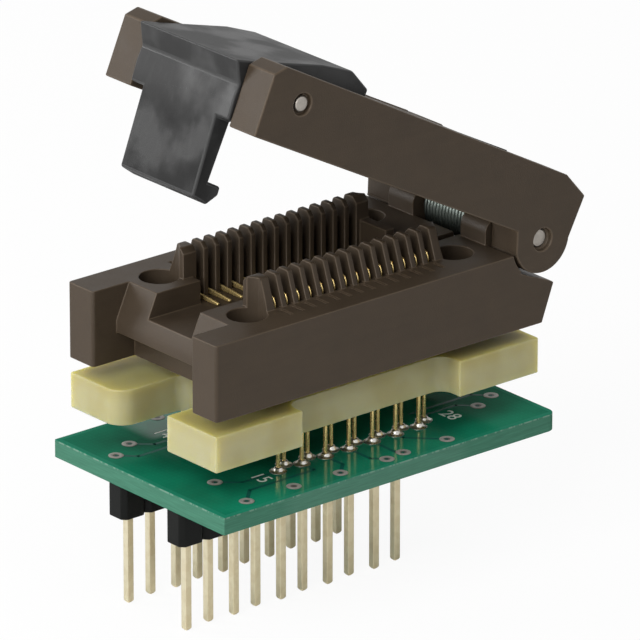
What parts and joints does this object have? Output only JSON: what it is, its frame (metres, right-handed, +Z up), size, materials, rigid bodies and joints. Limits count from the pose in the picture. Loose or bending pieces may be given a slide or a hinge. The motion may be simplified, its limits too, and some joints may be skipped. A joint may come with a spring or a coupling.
{
  "type": "soic to dip adapter",
  "caption": "Hinged-lid test socket for a wide SOIC on a spacer and small circuit board, with two rows of square pins underneath that plug into a wide DIP pattern",
  "frame": {"origin": "centre of the 20-pin pattern, on the underside of the two headers", "axes": "+Z up, away from the pins; +X along the pin rows towards the lid hinge; +Y across, away from pin 1"},
  "size_m": [0.0403, 0.0222, 0.0498],
  "materials": {
    "board_green": "glossy solder mask",
    "header_black": "moulded, matte",
    "spacer_cream": "sawn glass laminate, satin",
    "socket_brown": "moulded, satin",
    "latch_black": "moulded, semi-gloss",
    "pin_pale_gold": "flash gold plating",
    "contact_gold": "gold plating",
    "solder": "bright solder",
    "steel": "turned",
    "spring_steel": "drawn wire"
  },
  "bodies": {
    "socket": {"circuit_board": "board_green", "header_near": "header_black", "header_far": "header_black", "dip_pin_01": "pin_pale_gold", "dip_pin_02": "pin_pale_gold", "dip_pin_03": "pin_pale_gold", "dip_pin_04": "pin_pale_gold", "dip_pin_05": "pin_pale_gold", "dip_pin_06": "pin_pale_gold", "dip_pin_07": "pin_pale_gold", "dip_pin_08": "pin_pale_gold", "dip_pin_09": "pin_pale_gold", "dip_pin_10": "pin_pale_gold", "dip_pin_11": "pin_pale_gold", "dip_pin_12": "pin_pale_gold", "dip_pin_13": "pin_pale_gold", "dip_pin_14": "pin_pale_gold", "dip_pin_15": "pin_pale_gold", "dip_pin_16": "pin_pale_gold", "dip_pin_17": "pin_pale_gold", "dip_pin_18": "pin_pale_gold", "dip_pin_19": "pin_pale_gold", "dip_pin_20": "pin_pale_gold", "spacer": "spacer_cream", "socket_base": "socket_brown", "contact_01": "contact_gold", "contact_02": "contact_gold", "contact_03": "contact_gold", "contact_04": "contact_gold", "contact_05": "contact_gold", "contact_06": "contact_gold", "contact_07": "contact_gold", "contact_08": "contact_gold", "contact_09": "contact_gold", "contact_10": "contact_gold", "contact_11": "contact_gold", "contact_12": "contact_gold", "contact_13": "contact_gold", "contact_14": "contact_gold", "contact_15": "contact_gold", "contact_16": "contact_gold", "contact_17": "contact_gold", "contact_18": "contact_gold", "contact_19": "contact_gold", "contact_20": "contact_gold", "contact_21": "contact_gold", "contact_22": "contact_gold", "contact_23": "contact_gold", "contact_24": "contact_gold", "contact_25": "contact_gold", "contact_26": "contact_gold", "contact_27": "contact_gold", "contact_28": "contact_gold", "solder_joints": "solder", "hinge_pin": "steel", "hinge_spring": "spring_steel"},
    "lid": {"lid": "socket_brown", "latch_pin": "steel", "latch_spring": "spring_steel"},
    "latch": {"latch": "latch_black"}
  },
  "joints": [
    {"name": "lid_hinge", "type": "hinge", "parent": "socket", "child": "lid", "pos_m": [0.02243, 0, 0.02001], "axis": [0, 1, 0], "range_deg": [-28, 82], "stiffness_Nm_per_rad": 0.02, "springref_deg": 1.83, "deforming": ["hinge_spring"]},
    {"name": "latch_pivot", "type": "hinge", "parent": "lid", "child": "latch", "pos_m": [-0.00365, 0, 0.03807], "axis": [0, 1, 0], "range_deg": [0, 12], "stiffness_Nm_per_rad": 0.01, "springref_deg": -2.86, "deforming": ["latch_spring"]}
  ]
}
